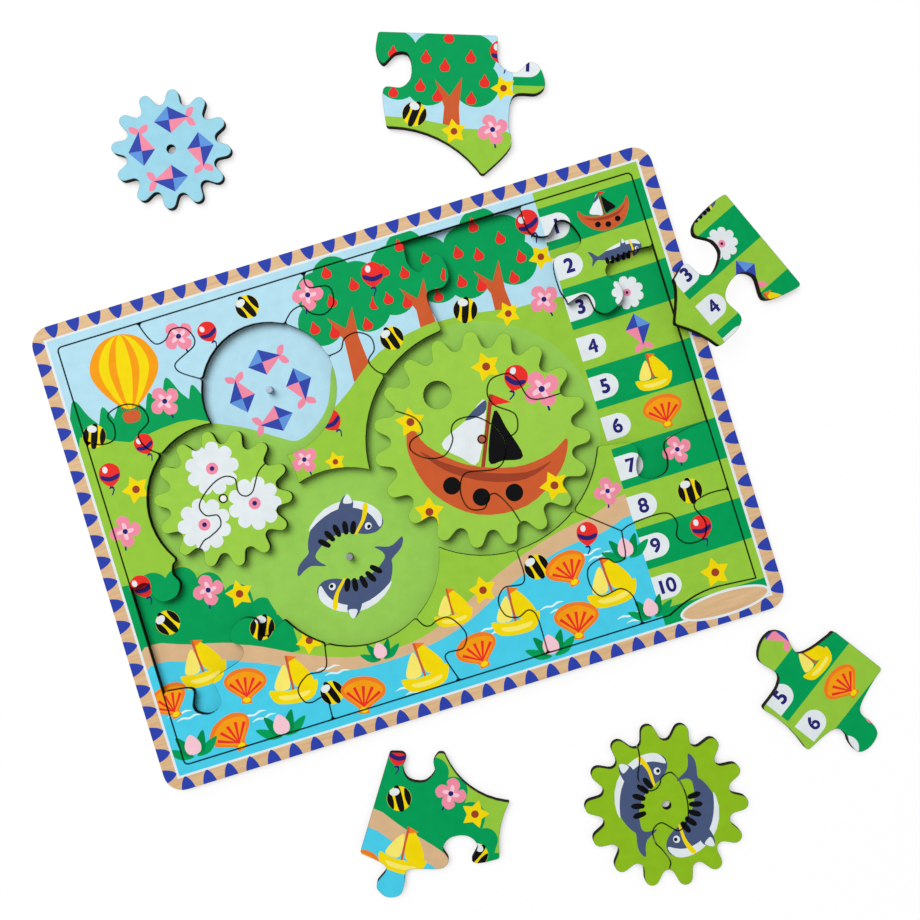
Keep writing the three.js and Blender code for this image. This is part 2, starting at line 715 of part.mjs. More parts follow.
function buildPanel() {
  let board = panelBlank();
  for (const shares of panelSlotsShares) {
    const path = curveThrough(shares.map(layoutPlace));
    board = board.subtract(cutter(slotOutline(path, slotWidth), baseThickness, pieceThickness));
    for (const entry of [entryOf(path), entryOf([...path].reverse())].filter(Boolean)) {
      for (const side of [1, -1]) {
        const waste = cornerWaste(entry, side);
        board = board.subtract(cutter(waste, baseThickness, pieceThickness));
      }
    }
  }
  const solids = board.decompose();
  for (const [name, { placeShare, color }] of Object.entries(panelPieces)) {
    const place = layoutPlace(placeShare);
    const geometry = geometryFrom(solidAt(solids, place, baseThickness, pieceThickness));
    const holder = new THREE.Group();
    if (loosePanelShares[name]) {
      layBeside(name, geometry, place);
    }
    if (name === leaningPiece) {
      leanOnTray(geometry, holder);
    }
    addPiece(holder, name, geometry, color);
    toy.add(holder);
  }
}

buildTray();
buildPegs();
buildPanel();
for (const name of Object.keys(gears)) {
  buildGear(name);
}

export default toy;
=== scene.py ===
# %% [markdown]
# # A wooden tray puzzle with turning gears
# The real toy is a set of thin boards. Each one has a printed paper glued on its top face, and a
# laser has cut it to its outline. This lesson takes the boards' outlines from the CAD model, lays
# one drawn picture over all of them, and cuts each board's share of the picture to its outline.

import json
import math

import bmesh
import bpy
import numpy as np
from mathutils import Matrix, Vector, geometry


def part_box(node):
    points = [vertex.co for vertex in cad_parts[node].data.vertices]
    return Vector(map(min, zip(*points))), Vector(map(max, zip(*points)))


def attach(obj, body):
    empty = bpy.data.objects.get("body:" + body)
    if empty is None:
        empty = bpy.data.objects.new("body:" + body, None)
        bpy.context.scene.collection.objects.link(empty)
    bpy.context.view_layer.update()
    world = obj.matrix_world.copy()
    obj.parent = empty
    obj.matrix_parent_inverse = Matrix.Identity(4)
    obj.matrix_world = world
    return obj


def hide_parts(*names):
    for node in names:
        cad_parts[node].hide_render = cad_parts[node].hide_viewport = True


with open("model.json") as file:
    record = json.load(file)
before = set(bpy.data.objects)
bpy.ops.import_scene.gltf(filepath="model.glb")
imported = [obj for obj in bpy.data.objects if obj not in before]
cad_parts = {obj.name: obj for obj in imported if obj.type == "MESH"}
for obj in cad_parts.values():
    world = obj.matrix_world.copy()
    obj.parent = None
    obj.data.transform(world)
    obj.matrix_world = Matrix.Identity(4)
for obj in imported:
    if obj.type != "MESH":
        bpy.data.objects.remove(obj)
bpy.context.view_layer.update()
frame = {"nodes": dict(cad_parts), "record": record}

MM = 0.001
body_of_node = {
    node: body for body, nodes in frame["record"]["behaviour"]["bodies"].items() for node in nodes
}

# %% [markdown]
# ## Inks
# The picture is printed with flat inks, so each region has one plain colour. The colours are sRGB
# hex values, and one function turns them to the linear values that Blender works with.

# %% Inks
def linear(hex_colour):
    channels = [int(hex_colour[start:start + 2], 16) / 255 for start in (1, 3, 5)]
    return [c / 12.92 if c <= 0.04045 else ((c + 0.055) / 1.055) ** 2.4 for c in channels] + [1.0]


inks = {
    "sky": "#b2dcec", "meadow": "#94c63e", "grass": "#95ca55", "hedge": "#049b55",
    "forest": "#00874a", "pond": "#48cbe7", "ripple": "#d9f2f6", "sand": "#d8b389",
    "gear": "#9acb48", "lime": "#8cbb20", "pale_gear": "#9ad2e4", "tag": "#e2e9ec",
    "white": "#e2e9ec", "navy": "#28246f", "scallop": "#2e42aa", "blue": "#3448a8",
    "light_blue": "#5f93d8", "slate": "#48577a", "black": "#0e0d0f", "yellow": "#f1d709",
    "straw": "#f7e86c", "amber": "#f29c14", "orange": "#ee7c22", "red": "#e72f2a",
    "pink": "#ef8ba4", "blush": "#f4c6d2", "rust": "#ca5b30", "brown": "#9c4028",
}
ink_colour = {name: linear(value) for name, value in inks.items()}
print(len(inks), "inks")

# %% [markdown]
# ## Stencils
# Each printed region is a stencil: a closed outline in millimetres. Discs and stars start from
# Blender's own circle, and free shapes are a smooth curve through a few knots. A drawing is a
# short list of inks and stencils, painted in order, so it can be stamped again and again.

# %% Drawing outlines
def disc(width, height=None, x=0.0, y=0.0, segments=28, inner=1.0):
    """A circle or ellipse. With inner below 1, every second point is drawn in, for a star."""
    mesh = bmesh.new()
    bmesh.ops.create_circle(mesh, segments=segments, radius=0.5)
    bmesh.ops.scale(mesh, vec=(inner, inner, 1), verts=list(mesh.verts)[1::2])
    bmesh.ops.scale(mesh, vec=(width, height or width, 1), verts=mesh.verts)
    outline = [vert.co.xy + Vector((x, y)) for vert in mesh.verts]
    mesh.free()
    return outline


def smooth(knots, steps=5):
    """A closed smooth curve through the knots."""
    points = [Vector(knot) for knot in knots]
    outline = []
    for index, start in enumerate(points):
        before = points[index - 1]
        end, after = points[(index + 1) % len(points)], points[(index + 2) % len(points)]
        handles = start + (end - before) / 6, end - (after - start) / 6
        outline += geometry.interpolate_bezier(start, *handles, end, steps)[:-1]
    return [point.xy for point in outline]


def symmetric(knots):
    """A closed smooth curve through the knots and their mirror images across the upright axis."""
    return smooth(knots + [(-x, y) for x, y in reversed(knots) if x])


def corners(*points):
    return [Vector(point) for point in points]


def rectangle(left, low, right, high):
    return corners((left, low), (right, low), (right, high), (left, high))


print("a disc has", len(disc(20)), "points, a rectangle has", len(rectangle(0, 0, 20, 10)))

# %% Moving outlines
def moved(outline, x=0.0, y=0.0, size=1.0, turn=0.0):
    turning = Matrix.Rotation(math.radians(turn), 2)
    return [turning @ (point * size) + Vector((x, y)) for point in outline]


def around(outline, count, first=0.0):
    """Copies of an outline, turned about the middle."""
    return [moved(outline, turn=first + 360 * index / count) for index in range(count)]


def signed_area(outline):
    """The area, which comes out negative for an outline that runs clockwise."""
    following = outline[1:] + outline[:1]
    return sum(point.cross(after) for point, after in zip(outline, following)) / 2


def counterclockwise(outline):
    return outline if signed_area(outline) > 0 else outline[::-1]


def grown(outline, margin):
    """The outline with its edge moved outward by the margin, or inward for a negative one."""
    margin = math.copysign(margin, margin * signed_area(outline))
    neighbours = zip(outline[-1:] + outline[:-1], outline, outline[1:] + outline[:1])
    return [
        point - (after - before).orthogonal().normalized() * margin
        for before, point, after in neighbours
    ]


def bent(outline, radius):
    """A straight drawing wrapped round the middle: its x runs clockwise along the circle."""
    return [
        Vector((math.sin(point.x / radius), math.cos(point.x / radius))) * (radius + point.y)
        for point in outline
    ]


print("a disc of 20 mm covers", round(signed_area(disc(20))), "square millimetres")

# %% Measuring outlines
def reach(outline):
    xs, ys = [point.x for point in outline], [point.y for point in outline]
    return min(xs), min(ys), max(xs), max(ys)


def covered(outline, places):
    """Which places lie inside: a ray to the right crosses the edges an odd number of times."""
    starts = np.array(outline)
    ends = np.roll(starts, -1, axis=0)
    across, up = places[:, :1], places[:, 1:]
    rise = ends[:, 1] - starts[:, 1]
    level = (starts[:, 1] > up) != (ends[:, 1] > up)
    share = (up - starts[:, 1]) / np.where(rise == 0, 1, rise)
    to_the_right = across < starts[:, 0] + share * (ends[:, 0] - starts[:, 0])
    return (level & to_the_right).sum(axis=1) % 2 == 1


def loops_of(faces, unit):
    """The border loops of a patch of faces, in the faces' own direction: holes run clockwise."""
    chosen = set(faces)
    following = {}
    for face in faces:
        for loop in face.loops:
            if not any(other in chosen for other in loop.edge.link_faces if other is not face):
                following[loop.vert] = loop.link_loop_next.vert
    outlines = []
    while following:
        vert, outline = next(iter(following)), []
        while vert in following:
            outline.append(vert.co.xy / unit)
            vert = following.pop(vert)
        outlines.append(outline)
    return outlines


print("inside a disc of 20 mm:", covered(disc(20), np.array([(0, 0), (9, 0), (11, 0)])))

# %% [markdown]
# ## Drawings
# The small drawings are plain toys and plants, each about 15 to 30 mm across: pinwheels, balls,
# party balloons, stars, sailing boats, shells, kites and daisies, with reeds and ripples for the
# pond. A symmetric stencil lists the knots of one side only.

# %% Drawings for the meadow
petal = smooth([(0, 0), (4.4, 2.4), (5.0, 7.4), (0.8, 10.4), (-3.4, 7.8), (-1.8, 3.4)])
fold = smooth([(0, 0), (1.8, 1.4), (1.8, 4.8), (0, 5.6), (-0.8, 2.6)])
pinwheel = [("navy", corners((-0.5, 0), (-0.9, -12.4), (0.3, -12.4), (0.5, 0)))]
pinwheel += [("pink", blade) for blade in around(petal, 4, 20)]
pinwheel += [("blush", blade) for blade in around(fold, 4, 20)]
pinwheel += [("navy", disc(3.4))]

ball = [
    ("yellow", disc(15.4)),
    ("black", smooth([(-4.8, 5.7), (-7.2, 2.2), (-7.2, -2.2), (-4.8, -5.7), (-3.6, 0)])),
    ("black", smooth([(-1.5, 7.5), (-2.2, 0), (-1.5, -7.5), (1.5, -7.5), (2.2, 0), (1.5, 7.5)])),
    ("black", smooth([(4.8, 5.7), (3.6, 0), (4.8, -5.7), (7.2, -2.2), (7.2, 2.2)])),
    ("white", disc(6.4, 4.6, -1.8, 4.6)),
]

party_balloon = [
    ("navy", corners((-0.5, -6), (0.9, -9.6), (-0.7, -13), (0.2, -13), (1.9, -9.6), (0.5, -6))),
    ("navy", corners((-2, -8.6), (0, -6), (2, -8.6))),
    ("red", symmetric([(0, -7.4), (-6.3, -2.2), (-6.1, 4.8), (0, 8.2)])),
    ("navy", smooth([(-5.9, 0.6), (0, -1), (5.9, 0.6), (5.4, -2.2), (0, -4), (-5.4, -2.2)])),
    ("white", disc(3.4, 4.4, -2.6, 4.0)),
]

star = [("yellow", smooth(disc(19, segments=10, inner=0.56), steps=3)), ("brown", disc(5.0))]
print("stencils:", [len(drawing) for drawing in (pinwheel, ball, party_balloon, star)])

# %% Drawings for the pond
boat = [
    ("rust", rectangle(-0.8, -6, 0.8, 18)),
    ("yellow", smooth([(-15.5, -2), (-11, -11.5), (10, -12.5), (16.5, -1.4), (6, -4), (-6, -4.2)])),
    ("straw", smooth([(-8, -9.4), (-2, -10.6), (8, -9.8), (10, -7), (0, -7.6), (-10, -6.6)])),
    ("yellow", smooth([(1.8, -2.6), (1.8, 16.5), (9.6, 9.5), (14, -1.8)])),
    ("straw", smooth([(-1.8, -2.6), (-1.8, 12.5), (-8, 6.5), (-11.5, -2)])),
    ("orange", corners((0.8, 18), (7, 15.8), (0.8, 13.6))),
]

shell_rim = [(-3.4, -10.5), (-3.6, -7), (-12.6, 0), (-13.6, 6), (-8, 11), (0, 12.4)]
shell_rib = corners((-0.4, 0), (-1.0, 13.4), (1.0, 13.4), (0.4, 0))
shell = [
    ("orange", symmetric(shell_rim)),
    ("amber", symmetric([(-1.8, -6.6), (-11, 1.4), (-10.6, 6.4), (0, 10.2)])),
]
for turn in (-50, -25, 0, 25, 50):
    shell.append(("red", moved(shell_rib, y=-7 + 0.02 * abs(turn), turn=turn)))
shell.append(("yellow", disc(5, 3.4, y=-8.4)))

reeds = [
    ("hedge", smooth([(-1, -6), (-9, 0.6), (-17, 2.4), (-10, -5.8)])),
    ("hedge", smooth([(1, -6), (9, 0.6), (17, 2.4), (10, -6)])),
    ("forest", smooth([(-2, -5), (-3.6, 4), (-9.6, 9), (-7.4, -3)])),
    ("forest", smooth([(2, -5), (3.6, 4), (9.6, 9), (7.4, -3)])),
    ("blush", symmetric([(-3.6, -4), (-5.2, 2), (0, 8.4)])),
]

wave = [(-8, 0), (-4, 1.5), (0, 0.5), (4, 1.5), (8, 0), (4, 0.3), (0, -0.7), (-4, 0.3)]
ripples = [
    ("ripple", smooth([(x + along, y + up) for along, up in wave])) for x, y in ((0, 0), (5, -4))
]
print("stencils:", [len(drawing) for drawing in (boat, shell, reeds, ripples)])

# %% Drawings for the gears
kite = [
    ("pink", smooth([(0, -10), (-6, -12), (-6.6, -16.6), (-1, -14.6)])),
    ("pink", smooth([(0, -10), (6, -12), (6.6, -16.6), (1, -14.6)])),
    ("light_blue", corners((0, 13), (-9.8, 2), (0, -12.4), (9.8, 2))),
    ("blue", corners((0, 13), (-9.8, 2), (0, 2))),
    ("blue", corners((0, -12.4), (9.8, 2), (0, 2))),
    ("pink", corners((0, -12.4), (-9.8, 2), (0, 2))),
]

daisy_petal = symmetric([(0, 1), (3.6, 5), (3.4, 12.6), (0, 14.6)])
daisy = [("white", part) for part in around(daisy_petal, 9)]
daisy += [("pink", disc(6.6)), ("navy", disc(2.6))]
print("stencils:", [len(drawing) for drawing in (kite, daisy)])

# %% [markdown]
# The larger drawings are a hot-air balloon, fruit trees, fir trees, a ship and a whale. The whale
# is drawn straight for its row and bent into a half ring for the lower gear.

# %% Balloon and trees
air_balloon = [
    ("brown", corners((-9, -12), (-4.6, -24), (-3.8, -24), (-7.6, -12))),
    ("brown", corners((9, -12), (4.6, -24), (3.8, -24), (7.6, -12))),
    ("amber", symmetric([(-6, -19), (-21, -2), (-24, 12), (-15, 27), (0, 32)])),
    ("yellow", symmetric([(-4.6, -19), (-15, -2), (-17.4, 12), (-10.6, 26), (0, 31.6)])),
    ("amber", symmetric([(-3, -19), (-9, -2), (-10.4, 12), (-6.2, 26), (0, 31.8)])),
    ("yellow", symmetric([(-1.4, -19), (-4.4, -2), (-5, 12), (-3, 26), (0, 31.8)])),
    ("rust", symmetric([(-5.4, -23), (-4.6, -30)])),
]

crown = [(-15, -5, 29), (15, -5, 29), (-12, 13, 27), (13, 12, 28), (0, 20, 26), (0, 2, 34)]
trunk = corners((-6.4, -46), (-4.6, -20), (-11, -3), (-1.5, -13), (6, -1), (4.6, -20), (6.6, -46))
pear = symmetric([(0, 4.4), (-1.4, 1.8), (-3.2, -0.8), (-2, -3.6)])
pears = [(-20, -7), (-17, 11), (-3, 24), (-5, 6), (11, 12), (20, -3), (12, -14), (-9, -13)]
fruit_tree = [("hedge", disc(width, x=x, y=y)) for x, y, width in crown] + [("rust", trunk)]
fruit_tree += [("red", moved(pear, x, y)) for x, y in pears]

fir_tree = [("hedge", symmetric([(-14, -16), (-9, -4), (-10, 2), (-5.6, 9), (0, 20)]))]
print("stencils:", [len(drawing) for drawing in (air_balloon, fruit_tree, fir_tree)])

# %% Ship and whale
hull = [
    (-48, 8), (-47, -10), (-29, -33), (0, -43), (30, -34), (48, -10),
    (50, 10), (40, -1), (20, -11), (-10, -13), (-36, -4),
]
plank = [
    (-40, -8), (-23, -18), (2, -22), (27, -18), (42, -5), (27, -13.6), (2, -16.6), (-23, -13.6),
]
ship = [
    ("brown", rectangle(-1.2, -18, 1.2, 32)),
    ("rust", smooth(hull)),
    ("brown", smooth(plank)),
    ("black", disc(11, x=-18, y=-27)),
    ("black", disc(11, x=1, y=-32)),
    ("black", disc(11, x=21, y=-27)),
    ("white", smooth([(-3, -10), (-3, 28), (-14, 14), (-27, -2), (-14, -9)])),
    ("slate", smooth([(-3, 20), (-3, 28), (-10, 20.6), (-14, 14)])),
    ("black", smooth([(3, -9), (3, 22), (12, 12), (24, -4), (12, -8)])),
    ("red", corners((1.2, 32), (13, 28.5), (1.2, 25))),
]

whale_body = [
    (32, -2), (30.5, 6.5), (21, 10), (5, 9.5), (-10, 6), (-20, 3), (-24, 2.4), (-30, 9),
    (-34, 10.4), (-31, 1), (-34, -8), (-26, -2.4), (-18, -4.6), (-5, -7.6), (10, -9), (25, -8),
]
whale_back = [
    (31.4, 2), (28, 8.4), (20, 10.8), (5, 10.4), (-12, 6.4), (-4, 5.4), (10, 6.6), (22, 5.4),
]
whale_bar = symmetric([(-2.1, -9.6), (-2.1, -4), (0, -1.6)])
whale = [
    ("slate", smooth(whale_body)),
    ("white", smooth(whale_back)),
    ("white", disc(4.6, x=25.4, y=-2)),
    ("black", disc(2.4, x=26, y=-2)),
    ("slate", smooth([(6, 2), (12, 1.6), (14, 9), (11, 14.6), (7.6, 9)])),
    ("white", smooth([(9.4, 9.6), (13.4, 9.6), (11.4, 15)])),
]
whale += [("black", moved(whale_bar, x)) for x in (-14, -6.5, 1, 8.5, 15)]
collar = smooth([(17.8, -9), (19.6, 0), (18.4, 9.6), (20.6, 9.6), (21.8, 0), (20, -9)])
whale.append(("yellow", collar))
ring_whale = [(ink, bent(outline, 24)) for ink, outline in whale]
print("stencils:", [len(drawing) for drawing in (ship, whale, ring_whale)])

# %% [markdown]
# ## The picture
# The whole tray shares one picture: a sky, meadows, a pond with a sandy bank, and a ladder of
# striped rows with numbered tags on the right. It is painted from back to front, in millimetres
# from the tray's middle. Its edge lies about 9.4 mm inside the tray's, within a thin white line.
# A drawing's place is its x and y, its size and its turn in degrees.

# %% Landscape
PICTURE_X, PICTURE_Y = 191.3, 140.5  # half of the picture's width and height


def stamp(sheet, drawing, x, y, size=1.0, turn=0.0):
    sheet += [(ink, moved(outline, x, y, size, turn)) for ink, outline in drawing]


def hedgerow(sheet, ink, bushes, base):
    """Round bushes that grow out of a common base line."""
    for x, top, width in bushes:
        half = width / 2
        sheet.append((ink, disc(width, x=x, y=top - half)))
        sheet.append((ink, rectangle(x - half, base, x + half, top - half)))


picture = [("sky", rectangle(-PICTURE_X, -PICTURE_Y, PICTURE_X, PICTURE_Y))]
fir_places = [
    (-186, 79, 1.1), (-170, 74, 0.9), (-155, 79, 1.1), (-140, 74, 0.9), (-127, 77, 1.05),
    (-113, 72, 0.85),
]
for place in fir_places:
    stamp(picture, fir_tree, *place)
for place in ((-10, 107, 1.0), (38, 111, 0.95), (86, 109, 1.0)):
    stamp(picture, fruit_tree, *place)
meadow = [
    (-195, 62), (-160, 66), (-118, 68), (-88, 47), (-60, 38), (-28, 52), (4, 74), (46, 82),
    (92, 76), (130, 62), (130, -70), (124, -150), (-195, -150),
]
picture.append(("meadow", smooth(meadow)))
behind_bushes = len(picture)
bushes = [
    (-190, -18, 20), (-173, -15, 21), (-156, -17, 19), (-141, -25, 18), (-126, -37, 18),
    (-113, -50, 15), (-103, -63, 12),
]
hedgerow(picture, "hedge", bushes, base=-88)
bank = [
    (-195, -64), (-160, -66), (-126, -76), (-96, -91), (-66, -102), (-30, -104), (0, -95),
    (34, -79), (70, -67), (100, -62), (130, -61), (130, -150), (-195, -150),
]
pond = [
    (-195, -75), (-158, -78), (-124, -88), (-94, -103), (-64, -110), (-30, -110), (2, -104),
    (36, -89), (72, -77), (102, -74), (130, -74), (130, -150), (-195, -150),
]
picture += [("sand", smooth(bank)), ("pond", smooth(pond))]
print(len(picture), "printed regions in the landscape")

# %% Numerals
DIGIT_HEIGHT, BOLDER = 9.1, 0.5
DIGIT_SHARE = 0.75  # a digit's height in the built-in face, as a share of the font size


def written(text, height):
    """The outlines of a text in Blender's built-in sans face, holes among them."""
    writing = bpy.data.curves.new("numeral", "FONT")
    writing.body, writing.size = text, height / DIGIT_SHARE
    writing.resolution_u, writing.fill_mode = 5, "NONE"
    holder = bpy.data.objects.new("numeral", writing)
    bpy.context.scene.collection.objects.link(holder)
    evaluated = holder.evaluated_get(bpy.context.evaluated_depsgraph_get())
    mesh = bpy.data.meshes.new_from_object(evaluated)
    outlines, outline = [], []
    for edge in mesh.edges:
        outline.append(mesh.vertices[edge.vertices[0]].co.xy.copy())
        if edge.vertices[1] < edge.vertices[0]:
            outlines.append(outline)
            outline = []
    bpy.data.objects.remove(holder)
    bpy.data.meshes.remove(mesh)
    bpy.data.curves.remove(writing)
    return outlines


def numeral(text, x, y):
    """Digits drawn bolder: navy outlines, then their holes in the tag's own ink."""
    outlines = written(text, DIGIT_HEIGHT)
    low_x, low_y, high_x, high_y = reach([point for outline in outlines for point in outline])
    shift = x - (low_x + high_x) / 2, y - (low_y + high_y) / 2
    outlines = [moved(outline, *shift) for outline in outlines]
    digits, holes = [], []
    for outline in outlines:
        others = [other for other in outlines if other is not outline]
        if any(covered(other, np.array(outline[:1]))[0] for other in others):
            holes.append(("tag", grown(outline, -BOLDER / 2)))
        else:
            digits.append(("navy", grown(outline, BOLDER)))
    return digits + holes


print("a 10 is written with", len(written("10", DIGIT_HEIGHT)), "outlines")

# %% Rows with numbered tags
ROW_LEFT, ROW_RIGHT = 123.7, 195
ROW_TOP, ROW_HEIGHT = 130.0, 26.0
TAG_HEIGHT, TAG_STRAIGHT = 15.2, 9.8
NUMBER_INSET = 8.9
DRAWING_X = 163

for row in range(-1, 11):
    top = ROW_TOP - ROW_HEIGHT * row
    ink = "meadow" if row % 2 else "hedge"
    picture.append((ink, rectangle(ROW_LEFT, top - ROW_HEIGHT, ROW_RIGHT, top)))
rounded_end = [point for point in disc(TAG_HEIGHT, x=TAG_STRAIGHT) if point.x > TAG_STRAIGHT]
rounded_end.sort(key=lambda point: point.y)
tag = corners((0, -TAG_HEIGHT / 2), (TAG_STRAIGHT, -TAG_HEIGHT / 2)) + rounded_end
tag += corners((TAG_STRAIGHT, TAG_HEIGHT / 2), (0, TAG_HEIGHT / 2))
for number in range(1, 11):
    middle = ROW_TOP - ROW_HEIGHT * (number - 0.5)
    picture.append(("tag", moved(tag, ROW_LEFT, middle)))
    picture += numeral(str(number), ROW_LEFT + NUMBER_INSET, middle)
row_drawings = [
    (ship, 0.33), (whale, 0.5), (daisy, 0.72), (kite, 0.82), (boat, 0.74), (shell, 0.9),
    (pinwheel, 0.86), (ball, 1.0), (party_balloon, 0.95), (star, 1.0),
]
for index, (drawing, size) in enumerate(row_drawings):
    middle = ROW_TOP - ROW_HEIGHT * (index + 0.5)
    _, low, _, high = reach([point for ink, outline in drawing for point in outline])
    stamp(picture, drawing, DRAWING_X, middle - size * (low + high) / 2, size)
print(len(picture), "printed regions with the rows")

# %% Scattered drawings
scattered = [
    (air_balloon, [(-151, 104, 0.88, -8)]),
    (ripples, [
        (-180, -104, 1.0, 0), (-136, -118, 1.0, 4), (-84, -104, 1.0, -4), (-40, -130, 1.0, 0),
        (20, -110, 1.0, 6), (60, -108, 1.0, 4), (104, -128, 1.0, 0), (92, -84, 1.0, 8),
    ]),
    (pinwheel, [
        (-112, 120, 0.95, 15), (-28, 121, 0.95, -20), (-132, 84, 0.95, 12), (-179, 14, 0.95, -14),
        (-60, 24, 0.85, 10), (-142, -36, 0.95, -10), (112, 76, 0.95, 12), (114, -50, 0.85, -12),
    ]),
    (ball, [
        (-66, 125, 0.95, 25), (-180, 76, 0.95, -20), (14, 80, 0.95, 18), (63, 84, 1.0, -20),
        (-172, -48, 1.0, 30), (-116, -68, 0.95, -25), (58, -82, 1.0, 15), (-86, -119, 0.95, 20),
    ]),
    (party_balloon, [
        (-94, 117, 0.85, 14), (14, 121, 1.0, -12), (116, 124, 1.0, 10), (-178, 50, 0.95, -8),
        (-37, 42, 0.9, 18), (-152, 62, 0.85, 10), (-180, -22, 0.95, 8), (94, -72, 0.95, -14),
    ]),
    (star, [
        (-165, 37, 0.95, 10), (-52, 48, 0.75, 30), (-42, 17, 0.7, 0), (118, 102, 0.85, 20),
        (-124, -44, 0.95, 0), (-90, -84, 0.9, 18), (22, -86, 0.95, 0), (88, 74, 0.85, 12),
    ]),
    (boat, [
        (-160, -80, 0.94, 4), (-108, -106, 0.96, -4), (-28, -122, 0.96, 3), (36, -106, 0.96, -3),
        (98, -106, 1.0, 3), (0, -92, 0.76, -2),
    ]),
    (shell, [
        (-184, -96, 0.9, 15), (-136, -100, 0.95, -12), (-152, -126, 1.0, 20),
        (-68, -127, 1.0, -15), (8, -122, 0.95, 10), (72, -122, 1.0, -10), (76, -90, 0.95, 12),
    ]),
    (reeds, [
        (-178, -126, 0.95, 0), (-122, -130, 0.95, 0), (-50, -104, 0.75, 0), (52, -132, 0.95, 0),
        (114, -88, 0.9, 0), (118, -128, 0.85, 0),
    ]),
]
for drawing, places in scattered:
    for place in places:
        stamp(picture, drawing, *place)
print(len(picture), "printed regions in the picture")

# %% [markdown]
# ## Other sheets
# Each gear has its own drawing round its peg hole. The small and the lower gear lie on the table,
# so the floor of their empty wells shows the same drawings. The border is bare wood with a row of
# blue scallops, about 13.8 mm apart.

# %% Gear sheets
GEAR_PRINTS = {
    "small": ("pale_gear", [
        (kite, 0, 18.5, 0.86, 100), (kite, 18.5, 0, 0.86, 10),
        (kite, 0, -18.5, 0.86, -80), (kite, -18.5, 0, 0.86, 190),
    ]),
    "left": ("gear", [
        (daisy, -6.4, 18.8, 1.14, 0), (daisy, -12, -15.8, 1.14, 15), (daisy, 19.4, -3.4, 1.14, 30),
    ]),
    "lower": ("lime", [(ring_whale, 0, 0, 1.0, 75), (ring_whale, 0, 0, 1.0, 255)]),
    "main": ("gear", [
        (ship, 2, -4, 1.0, -8), (pinwheel, 38, 30, 1.15, 20), (party_balloon, 22, 37, 1.05, -16),
        (star, -44, 12, 1.0, 8), (star, 4, 45, 1.0, 20), (star, -34, -44, 1.0, 0),
        (star, 44, -30, 1.0, 25),
    ]),
}
gear_sheets = {}
for name, (ground, drawings) in GEAR_PRINTS.items():
    gear_sheets[name] = [(ground, disc(150))]  # wider than any gear
    for drawing, *place in drawings:
        stamp(gear_sheets[name], drawing, *place)
print("stencils on the gears:", {name: len(sheet) for name, sheet in gear_sheets.items()})

# %% The tray's floor
PEGS = {
    "small": (-68.19, 71.87), "left": (-115.05, 15.63),
    "lower": (-51.07, -41.97), "main": (48.95, 3.61),
}
WELL_WIDTHS = {"small": 84, "left": 95.1, "lower": 111.4, "main": 144.3}
UNDER_PANELS = 4  # how much wider a well's print is than the well

well_floors = {
    name: disc(WELL_WIDTHS[name] + UNDER_PANELS, None, *peg, segments=64)
    for name, peg in PEGS.items()
}
lawn = disc(54, x=-110, y=-30)  # between the left and the lower well
floor_sheet = picture[:behind_bushes]
floor_sheet += [("grass", patch) for patch in (lawn, well_floors["left"], well_floors["main"])]
floor_sheet += picture[behind_bushes:] + [("grass", well_floors["lower"])]
floor_sheet.append(("sky", disc(WELL_WIDTHS["small"], None, *PEGS["small"], segments=64)))
shore = [
    (-62, -4), (-41, -9), (-20, -19), (-4, -29.5), (7, -35), (20, -30), (32, -18.6), (46, 6),
    (60, -60), (-60, -60),
]
floor_sheet.append(("grass", moved(smooth(shore), *PEGS["small"])))
for name, turn in (("small", -6), ("lower", -62)):
    stamp(floor_sheet, gear_sheets[name][1:], *PEGS[name], turn=turn)
print(len(floor_sheet), "regions on the floor")

# %% Border
TRAY_X, TRAY_Y = 200.8, 149.8  # half of the tray's width and height
BARE_X, BARE_Y = 192.9, 141.9  # half of the width and height where the white line ends
PAST_X, PAST_Y = 210, 160  # beyond the tray's edge
SIGN_X, SIGN_Y = 163.3, -137.8

border_sheet = []
scallop = symmetric([(-4.4, 3), (-4.2, -0.8), (-3.4, -3.6), (-2.1, -6.2), (0, -8.2)])
for index in range(28):
    border_sheet.append(("scallop", moved(scallop, -185.6 + 13.81 * index, TRAY_Y)))
    border_sheet.append(("scallop", moved(scallop, -188.1 + 13.9 * index, -TRAY_Y, turn=180)))
for index in range(21):
    y = -138.5 + 13.85 * index
    border_sheet.append(("scallop", moved(scallop, -TRAY_X, y, turn=90)))
    border_sheet.append(("scallop", moved(scallop, TRAY_X, y, turn=-90)))
frame_sheet = list(picture)
for ink, edge_x, edge_y in (("white", PICTURE_X, PICTURE_Y), ("wood", BARE_X, BARE_Y)):
    for side in (-1, 1):
        near_x, far_x = side * edge_x, side * PAST_X
        near_y, far_y = side * edge_y, side * PAST_Y
        upright = corners((near_x, -PAST_Y), (far_x, -PAST_Y), (far_x, PAST_Y), (near_x, PAST_Y))
        level = corners((-PAST_X, near_y), (-PAST_X, far_y), (PAST_X, far_y), (PAST_X, near_y))
        frame_sheet += [(ink, upright), (ink, level)]
frame_sheet += border_sheet
frame_sheet.append(("white", disc(58, 16, SIGN_X, SIGN_Y, segments=48)))
frame_sheet.append(("wood", disc(54.6, 12.8, SIGN_X, SIGN_Y, segments=48)))
print(len(border_sheet), "scallops on the border")

# %% [markdown]
# ## Finishes
# Five real surfaces cover the boards. The top is offset-printed paper with a matt varnish. The cut
# edges are plywood that the laser has charred almost black. The border is pale veneer, the outside
# of the tray is sanded plywood with its layers showing, and the backs are bare birch plywood.
# One small function adds a node with its settings and links.

# %% Node helper
def add_node(tree, kind, inputs=None, **settings):
    made = tree.nodes.new(kind)
    for name, value in settings.items():
        setattr(made, name, value)
    for name, value in (inputs or {}).items():
        if isinstance(value, bpy.types.NodeSocket):
            tree.links.new(value, made.inputs[name])
        else:
            made.inputs[name].default_value = value
    return made


